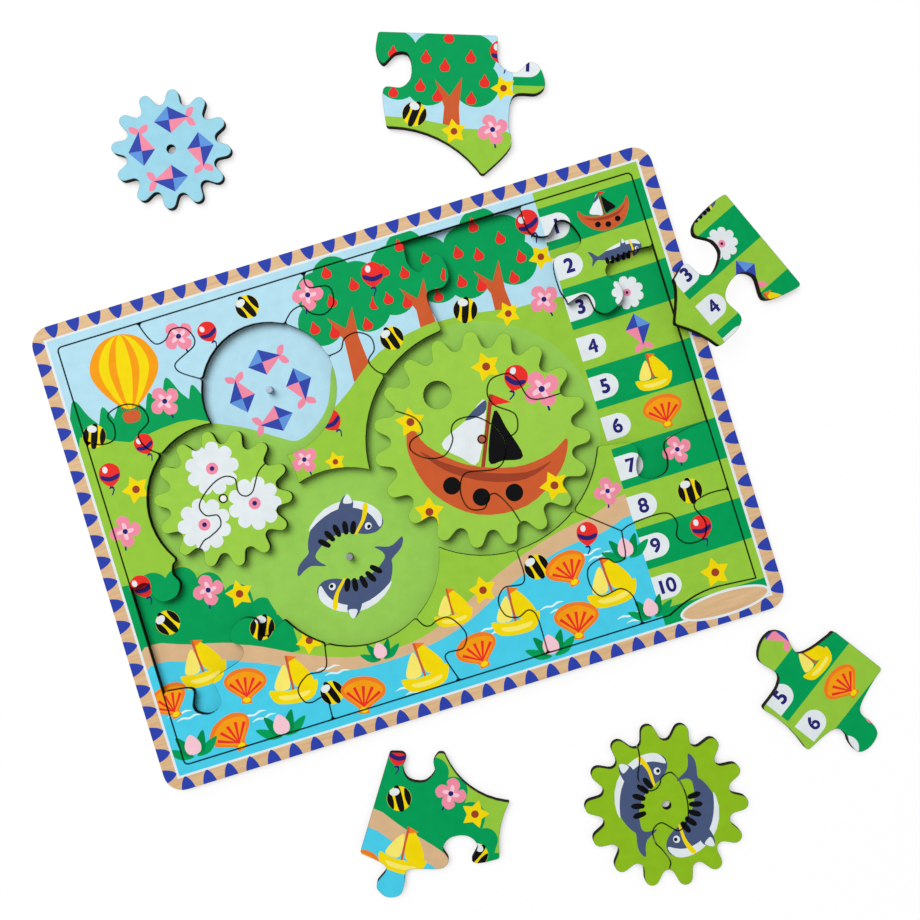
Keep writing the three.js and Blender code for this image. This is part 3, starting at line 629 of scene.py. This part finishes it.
def new_material(name, specular=0.3):
    """A material with its node tree, its shader and the coordinates of the object."""
    material = bpy.data.materials.new(name)
    material.use_nodes = True
    tree = material.node_tree
    shader = tree.nodes["Principled BSDF"]
    shader.inputs["Specular IOR Level"].default_value = specular
    place = add_node(tree, "ShaderNodeTexCoord").outputs["Object"]
    return material, tree, shader, place


def per_metre(millimetres):
    """A texture's scale for features of that size."""
    return 1 / (millimetres * MM)


print("a texture of 2 mm has the scale", per_metre(2))

# %% Varnished printed paper
def printed_paper():
    """Offset ink on paper under a matt varnish: flat colour, very slightly mottled at 7 mm.

    Paper fibres are finer than a render shows, so their grain is drawn at 0.6 mm.
    """
    material, tree, shader, place = new_material("varnished_printed_paper", specular=0.03)
    ink = add_node(tree, "ShaderNodeAttribute", attribute_name="ink", attribute_type="GEOMETRY")
    mottle = add_node(tree, "ShaderNodeTexNoise", {
        "Vector": place, "Scale": per_metre(7), "Detail": 3.0,
    })
    shade = add_node(tree, "ShaderNodeMapRange", {
        "Value": mottle.outputs["Fac"],
        "From Min": 0.3, "From Max": 0.7, "To Min": 0.955, "To Max": 1.03,
    })
    toned = add_node(tree, "ShaderNodeVectorMath", {
        0: ink.outputs["Color"], "Scale": shade.outputs["Result"],
    }, operation="SCALE")
    tree.links.new(toned.outputs["Vector"], shader.inputs["Base Color"])
    gloss = add_node(tree, "ShaderNodeMapRange", {
        "Value": mottle.outputs["Fac"], "To Min": 0.36, "To Max": 0.5,
    })
    tree.links.new(gloss.outputs["Result"], shader.inputs["Roughness"])
    fibre = add_node(tree, "ShaderNodeTexNoise", {
        "Vector": place, "Scale": per_metre(0.6), "Detail": 2.0,
    })
    bump = add_node(tree, "ShaderNodeBump", {
        "Height": fibre.outputs["Fac"], "Strength": 0.12, "Distance": 0.05 * MM,
    })
    tree.links.new(bump.outputs["Normal"], shader.inputs["Normal"])
    return material


# %% Wood
def wood(name, light, dark, stretch, roughness, bump_strength):
    """Plain-sawn wood: light and dark streaks along X, from growth rings about 1.6 mm apart."""
    material, tree, shader, place = new_material(name)
    shader.inputs["Roughness"].default_value = roughness
    along = add_node(tree, "ShaderNodeMapping", {"Vector": place, "Scale": stretch})
    rings = add_node(tree, "ShaderNodeTexNoise", {
        "Vector": along.outputs["Vector"],
        "Scale": per_metre(1.6), "Detail": 4.0, "Distortion": 0.4,
    })
    blend = add_node(tree, "ShaderNodeMapRange", {
        "Value": rings.outputs["Fac"], "From Min": 0.32, "From Max": 0.7,
    })
    tone = add_node(tree, "ShaderNodeMix", {
        "Factor": blend.outputs["Result"], 6: linear(light), 7: linear(dark),
    }, data_type="RGBA")
    tree.links.new(tone.outputs[2], shader.inputs["Base Color"])
    pores = add_node(tree, "ShaderNodeTexNoise", {
        "Vector": along.outputs["Vector"], "Scale": per_metre(0.35), "Detail": 2.0,
    })
    bump = add_node(tree, "ShaderNodeBump", {
        "Height": pores.outputs["Fac"], "Strength": bump_strength, "Distance": 0.08 * MM,
    })
    tree.links.new(bump.outputs["Normal"], shader.inputs["Normal"])
    return material


# %% Plywood edges
def plywood_edge(name, light, dark, roughness, specular):
    """Cut plywood: light and dark plies of 1 mm in turn, counted from the top face, with streaks
    of 0.8 mm that run down the cut."""
    material, tree, shader, place = new_material(name, specular)
    shader.inputs["Roughness"].default_value = roughness
    depth = add_node(tree, "ShaderNodeAttribute", attribute_name="depth", attribute_type="GEOMETRY")
    plies = add_node(tree, "ShaderNodeMath", {
        0: depth.outputs["Fac"], 1: math.pi,
    }, operation="MULTIPLY")
    ply_wave = add_node(tree, "ShaderNodeMath", {0: plies.outputs["Value"]}, operation="SINE")
    upright = add_node(tree, "ShaderNodeMapping", {"Vector": place, "Scale": (1, 1, 0.12)})
    streaks = add_node(tree, "ShaderNodeTexNoise", {
        "Vector": upright.outputs["Vector"], "Scale": per_metre(0.8), "Detail": 4.0,
    })
    mixed = add_node(tree, "ShaderNodeMath", {
        0: ply_wave.outputs["Value"], 1: 0.22, 2: streaks.outputs["Fac"],
    }, operation="MULTIPLY_ADD")
    tone = add_node(tree, "ShaderNodeMix", {
        "Factor": mixed.outputs["Value"], 6: linear(light), 7: linear(dark),
    }, data_type="RGBA")
    tree.links.new(tone.outputs[2], shader.inputs["Base Color"])
    bump = add_node(tree, "ShaderNodeBump", {
        "Height": streaks.outputs["Fac"], "Strength": 0.3, "Distance": 0.1 * MM,
    })
    tree.links.new(bump.outputs["Normal"], shader.inputs["Normal"])
    return material


# %% The boards' finishes
finishes = {
    "paper": printed_paper(),
    "wood": wood("pale_veneer_border", "#dcb98c", "#cfa67a", (0.06, 1, 1), 0.55, 0.15),
    "charred": plywood_edge("laser_charred_plywood_edge", "#21150c", "#050302", 0.85, 0.08),
    "back": wood("birch_plywood_back", "#e3c79c", "#cfa878", (0.05, 1, 1), 0.65, 0.25),
    "sanded": plywood_edge("sanded_plywood_edge", "#d8b487", "#a87c4c", 0.6, 0.3),
}
FINISH_ORDER = list(finishes)
print("finishes:", FINISH_ORDER)

# %% [markdown]
# ## Cutting the picture to the boards
# The CAD node gives a board's outline. The paper is laid on it by a constrained Delaunay
# triangulation, which splits the outline's area along every stencil edge, and each small face then
# takes the ink of the topmost stencil that covers it. The rim is lowered by a hair and its ink is
# darker, because the laser scorches it. Blender's extrude and fill give the walls and the back.

# %% Outlines from the CAD
RIM_WIDTH = 0.25  # millimetres
WELD, LEVEL = 2e-6, 1e-5  # metres between points that are one, and between heights that are level


def top_outlines(node, placement):
    """A node's top outlines in millimetres, the same drawn in by the rim, and its two heights."""
    mesh = bmesh.new()
    mesh.from_mesh(frame["nodes"][node].data)
    bmesh.ops.transform(mesh, matrix=placement.inverted(), verts=mesh.verts)
    bmesh.ops.remove_doubles(mesh, verts=mesh.verts, dist=WELD)
    heights = [vert.co.z for vert in mesh.verts]
    top, bottom = max(heights), min(heights)
    faces = [face for face in mesh.faces if all(top - vert.co.z < LEVEL for vert in face.verts)]
    outer = loops_of(faces, MM)
    bmesh.ops.inset_region(
        mesh, faces=faces, thickness=RIM_WIDTH * MM, use_boundary=True, use_even_offset=True
    )
    inner = loops_of(faces, MM)
    mesh.free()
    return outer, inner, top, bottom


# %% Printed tops
INSIDE_ONLY = 1  # keeps the triangles that lie in a patch
JOINED = 1e-4  # millimetres between points that become one


def printed_faces(outer, inner, sheet):
    """Splits a board's top along the sheet's stencils. Returns points, faces and their inks."""
    points, rims, patches = [], [], []

    def enter(outline):
        points.extend(outline)
        return list(range(len(points) - len(outline), len(points)))

    for outline in outer:
        patches.append(enter(counterclockwise(outline)))
    for outline in inner:
        ring = enter(outline)
        rims += zip(ring, ring[1:] + ring[:1])
    low_x, low_y, high_x, high_y = reach([point for outline in outer for point in outline])
    used = []
    for ink, outline in sheet:
        left, low, right, high = reach(outline)
        if left < high_x and right > low_x and low < high_y and high > low_y:
            used.append((ink, outline))
            patches.append(enter(counterclockwise(outline)))
    triangulation = geometry.delaunay_2d_cdt(points, rims, patches, INSIDE_ONLY, JOINED)
    flat, faces = triangulation[0], triangulation[2]
    places = np.array([
        sum((flat[index] for index in face), Vector((0, 0))) / len(face) for face in faces
    ])
    on_board = sum(covered(outline, places).astype(int) for outline in outer) % 2 == 1
    on_rim = sum(covered(outline, places).astype(int) for outline in inner) % 2 == 0
    face_inks = np.full(len(faces), "white", dtype=object)
    for ink, outline in used:
        face_inks[covered(outline, places)] = ink
    kept = [face for face, keep in zip(faces, on_board) if keep]
    return flat, kept, zip(face_inks[on_board], on_rim[on_board])


# %% Paper
SCORCH = 0.5  # how much of its brightness the ink keeps on the rim


def papered(outer, inner, sheet, top):
    """A new mesh that holds a board's printed top, with an ink for each face."""
    points, faces, face_inks = printed_faces(outer, inner, sheet)
    mesh = bmesh.new()
    ink_layer = mesh.loops.layers.float_color.new("ink")
    mesh.verts.layers.float.new("depth")
    verts = [mesh.verts.new((point.x * MM, point.y * MM, top)) for point in points]
    for indices, (ink, on_rim) in zip(faces, face_inks):
        face = mesh.faces.new([verts[index] for index in indices])
        face.material_index = FINISH_ORDER.index("wood" if ink == "wood" else "paper")
        colour = Vector(ink_colour.get(ink, ink_colour["white"])) * (SCORCH if on_rim else 1)
        for loop in face.loops:
            loop[ink_layer] = colour
    loose = [vert for vert in mesh.verts if not vert.link_faces]
    bmesh.ops.delete(mesh, geom=loose, context="VERTS")
    return mesh


# %% Walls and back
RIM_DROP = 0.15  # millimetres
SANDED_X, SANDED_Y = 189, 138  # the tray's walls further out than this, in millimetres, are sanded


def of_kind(items, kind):
    return [item for item in items if isinstance(item, kind)]


def closed(mesh, top, bottom, is_tray):
    """Lowers the rim of a printed top, and closes it with walls and a back."""
    border = [edge for edge in mesh.edges if edge.is_boundary]
    walls = bmesh.ops.extrude_edge_only(mesh, edges=border)["geom"]
    for edge in border:
        for vert in edge.verts:
            vert.co.z = top - RIM_DROP * MM
    for vert in of_kind(walls, bmesh.types.BMVert):
        vert.co.z = bottom
    for face in of_kind(walls, bmesh.types.BMFace):
        middle = face.calc_center_median() / MM
        sanded = is_tray and (abs(middle.x) > SANDED_X or abs(middle.y) > SANDED_Y)
        face.material_index = FINISH_ORDER.index("sanded" if sanded else "charred")
        face.smooth = True
    lower = [edge for edge in mesh.edges if edge.is_boundary]
    filled = bmesh.ops.triangle_fill(mesh, use_beauty=True, edges=lower)["geom"]
    for face in of_kind(filled, bmesh.types.BMFace):
        face.material_index = FINISH_ORDER.index("back")
    bmesh.ops.recalc_face_normals(mesh, faces=mesh.faces)


# %% Boards
SHARP = math.radians(35)


def printed_board(node, sheet, placement=Matrix()):
    """One closed board in place of a CAD node. The placement moves its paper from the picture."""
    outer, inner, top, bottom = top_outlines(node, placement)
    mesh = papered(outer, inner, sheet, top)
    closed(mesh, top, bottom, is_tray=node.startswith("tray"))
    depth_layer = mesh.verts.layers.float["depth"]
    for vert in mesh.verts:
        vert[depth_layer] = (top - vert.co.z) / MM
    for edge in mesh.edges:
        edge.smooth = len(edge.link_faces) == 2 and edge.calc_face_angle() < SHARP
    bmesh.ops.transform(mesh, matrix=placement, verts=mesh.verts)

    data = bpy.data.meshes.new(node + "_printed")
    mesh.to_mesh(data)
    mesh.free()
    for finish in finishes.values():
        data.materials.append(finish)
    board = bpy.data.objects.new(node + "_printed", data)
    bpy.context.scene.collection.objects.link(board)
    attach(board, body_of_node[node])
    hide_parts(node)
    print(f"{board.name}: {len(data.polygons)} faces")


# %% [markdown]
# ## The tray
# The base carries the whole picture, so it shows through the empty places. The frame carries the
# border and a thin band of the same picture.

# %% Tray
printed_board("tray_base", floor_sheet)
printed_board("tray_frame", frame_sheet)

# %% [markdown]
# ## The jigsaw pieces
# Pieces in the tray lie where they were cut, so their paper needs no moving. A piece on the table
# was moved from its place in the picture and turned, and the same move is applied to its paper.
# One piece also leans on the tray. Its tilt is read from its CAD top face.

# %% Placements
def shifted(from_place, to_place, turn):
    """The move from a place in the picture to a place on the table, with a turn in degrees."""
    there = Matrix.Translation((to_place[0] * MM, to_place[1] * MM, 0))
    back = Matrix.Translation((-from_place[0] * MM, -from_place[1] * MM, 0))
    return there @ Matrix.Rotation(math.radians(turn), 4, "Z") @ back


def leaning(node):
    """The tilt of a leaning piece, about its lowest point."""
    data = frame["nodes"][node].data
    tilt = math.asin(max(data.polygons, key=lambda face: face.area * face.normal.z).normal.x)
    foot = min(data.vertices, key=lambda vert: vert.co.z).co.x
    print(f"{node} leans {math.degrees(tilt):.2f} degrees on its foot at x {foot / MM:.1f} mm")
    to_foot, back = Matrix.Translation((foot, 0, 0)), Matrix.Translation((-foot, 0, 0))
    return to_foot @ Matrix.Rotation(tilt, 4, "Y") @ back


placements = {
    "panel_top_arch": shifted((80.15, 109.67), (93.11, 228.56), -19),
    "panel_strips_3_4":
        leaning("panel_strips_3_4") @ shifted((169.62, 44.68), (239.39, 59.9), 24),
    "panel_strips_5_6": shifted((164.96, -5.42), (216.46, -201.32), 34.7),
    "panel_left_bank": shifted((-149.12, -59.58), (-53.33, -216.98), -33.6),
}

# %% Jigsaw pieces
for node in frame["nodes"]:
    if node.startswith("panel"):
        printed_board(node, picture, placements.get(node, Matrix()))

# %% [markdown]
# ## The gears
# A gear's sheet is drawn about its own middle, so it is turned and moved with the gear.

# %% Gears
GEAR_PLACES = {
    "small": ((-82.81, 233.48), -18.3), "left": (PEGS["left"], -15.5),
    "lower": ((91.93, -247.83), -15.5), "main": (PEGS["main"], -15.3),
}
for node in frame["nodes"]:
    if node.startswith("gear"):
        name = node.split("_")[1]
        printed_board(node, gear_sheets[name], shifted((0, 0), *GEAR_PLACES[name]))

# %% [markdown]
# ## The pegs
# Each peg is a turned hardwood dowel with a painted end. It is a capped cone with equal radii,
# and its upper rim is rounded by a bevel.

# %% Pegs
PEG_RADIUS, PEG_ROUNDING = 2.1, 0.45  # millimetres
PEG_PAINTS = {"small": "#a9b9cc", "left": "#f0eee8", "lower": "#8d8f96", "main": "#a8553a"}


def painted_dowel(name, colour):
    """Enamel on end grain: even colour with a faint grain of 0.5 mm, and a soft gloss."""
    material, tree, shader, place = new_material(name)
    shader.inputs["Roughness"].default_value = 0.38
    grain = add_node(tree, "ShaderNodeTexNoise", {
        "Vector": place, "Scale": per_metre(0.5), "Detail": 3.0,
    })
    shade = add_node(tree, "ShaderNodeMapRange", {
        "Value": grain.outputs["Fac"], "To Min": 0.88, "To Max": 1.08,
    })
    toned = add_node(tree, "ShaderNodeVectorMath", {
        0: linear(colour)[:3], "Scale": shade.outputs["Result"],
    }, operation="SCALE")
    tree.links.new(toned.outputs["Vector"], shader.inputs["Base Color"])
    bump = add_node(tree, "ShaderNodeBump", {
        "Height": grain.outputs["Fac"], "Strength": 0.2, "Distance": 0.05 * MM,
    })
    tree.links.new(bump.outputs["Normal"], shader.inputs["Normal"])
    return material


for name, colour in PEG_PAINTS.items():
    low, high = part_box("peg_" + name)
    radius, height = PEG_RADIUS * MM, high.z - low.z
    mesh = bmesh.new()
    bmesh.ops.create_cone(
        mesh, cap_ends=True, segments=40, radius1=radius, radius2=radius, depth=height
    )
    rim = [edge for edge in mesh.edges if all(vert.co.z > 0 for vert in edge.verts)]
    bmesh.ops.bevel(
        mesh, geom=rim, offset=PEG_ROUNDING * MM, segments=3, profile=0.5, affect="EDGES",
        material=-1,
    )
    bmesh.ops.translate(mesh, vec=(low + high) / 2, verts=mesh.verts)
    for face in mesh.faces:
        face.smooth = len(face.verts) < 5
    data = bpy.data.meshes.new(f"peg_{name}_dowel")
    mesh.to_mesh(data)
    mesh.free()
    data.materials.append(painted_dowel(f"painted_dowel_{name}", colour))
    peg = bpy.data.objects.new(f"peg_{name}_dowel", data)
    bpy.context.scene.collection.objects.link(peg)
    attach(peg, "tray")
    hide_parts("peg_" + name)
    print(f"{peg.name}: {len(data.polygons)} faces")

# %% [markdown]
# ## The table, the light and the camera
# The toy lies on a white table. A soft lamp stands at the upper left of the picture and a pale sky
# fills the shadows. The camera looks straight down from about 0.73 m above the tray. The table is
# plain white where the room can see it, and it is left in shade under a slot or a peg hole.

# %% Table
TABLE_HALF, TABLE_DROP = 3, 0.05 * MM  # metres
SHADE_REACH = 5 * MM  # how far from the table a board still leaves it in shade
TABLE_BRIGHTNESS = 0.93


def seen_rays(tree):
    """1 for the rays that show the surroundings straight, mirrored or through glass, else 0."""
    rays = add_node(tree, "ShaderNodeLightPath")
    seen = rays.outputs["Is Camera Ray"]
    for kind in ("Is Glossy Ray", "Is Transmission Ray"):
        either = {0: seen, 1: rays.outputs[kind]}
        seen = add_node(tree, "ShaderNodeMath", either, operation="MAXIMUM").outputs["Value"]
    return seen


table_mesh = bmesh.new()
bmesh.ops.create_grid(table_mesh, x_segments=1, y_segments=1, size=TABLE_HALF)
bmesh.ops.translate(table_mesh, vec=(0, 0, -TABLE_DROP), verts=table_mesh.verts)
table_data = bpy.data.meshes.new("table")
table_mesh.to_mesh(table_data)
table_mesh.free()
table_top = bpy.data.materials.new("white_table")
table_top.use_nodes = True
tree = table_top.node_tree
paint = tree.nodes["Principled BSDF"]
paint.inputs["Base Color"].default_value = (0.97, 0.97, 0.97, 1)
paint.inputs["Roughness"].default_value = 0.8
white = add_node(tree, "ShaderNodeEmission", {"Color": (1, 1, 1, 1), "Strength": 1.0})
open_above = add_node(tree, "ShaderNodeAmbientOcclusion", {"Distance": SHADE_REACH}, samples=4)
brightness = add_node(tree, "ShaderNodeMath", {
    0: open_above.outputs["AO"], 1: TABLE_BRIGHTNESS,
}, operation="MULTIPLY")
share = add_node(tree, "ShaderNodeMath", {
    0: seen_rays(tree), 1: brightness.outputs["Value"],
}, operation="MULTIPLY")
both = add_node(tree, "ShaderNodeMixShader", {
    0: share.outputs["Value"], 1: paint.outputs["BSDF"], 2: white.outputs["Emission"],
})
tree.links.new(both.outputs["Shader"], tree.nodes["Material Output"].inputs["Surface"])
table_data.materials.append(table_top)
table = bpy.data.objects.new("table", table_data)
bpy.context.scene.collection.objects.link(table)
print("the table's upper face lies", round(TABLE_DROP / MM, 3), "mm under the toy")

# %% Light
scene = bpy.context.scene
scene.view_settings.view_transform = "Standard"
world = bpy.data.worlds.new("pale_room")
world.use_nodes = True
scene.world = world
tree = world.node_tree
fill = tree.nodes["Background"]
fill.inputs["Color"].default_value = (1, 1, 1, 1)
fill.inputs["Strength"].default_value = 0.35
backdrop = add_node(tree, "ShaderNodeBackground", {"Color": (1, 1, 1, 1), "Strength": 1.0})
chosen = add_node(tree, "ShaderNodeMixShader", {
    0: seen_rays(tree), 1: fill.outputs["Background"], 2: backdrop.outputs["Background"],
})
tree.links.new(chosen.outputs["Shader"], tree.nodes["World Output"].inputs["Surface"])

lamp_data = bpy.data.lights.new("softbox", "AREA")
lamp_data.shape = "DISK"
lamp_data.size = 2.7  # metres
lamp_data.energy = 127  # watts
lamp = bpy.data.objects.new("softbox", lamp_data)
lamp.location = (-1.02, 1.86, 3.1)
lamp.rotation_euler = (-Vector(lamp.location)).to_track_quat("-Z", "Y").to_euler()
scene.collection.objects.link(lamp)
print("the lamp stands", round(lamp.location.length, 2), "m from the tray's middle")

# %% Camera
FIELD_OF_VIEW = 42.71  # degrees
camera_data = bpy.data.cameras.new("camera")
camera_data.sensor_width = 36
camera_data.lens = camera_data.sensor_width / 2 / math.tan(math.radians(FIELD_OF_VIEW / 2))
camera = bpy.data.objects.new("camera", camera_data)
camera.location = (28.2 * MM, -7.1 * MM, 738.6 * MM)
camera.rotation_euler = [math.radians(turn) for turn in (0.273, -0.24, -17.12)]
scene.collection.objects.link(camera)
scene.camera = camera
print("the lens is", round(camera_data.lens, 1), "mm long")
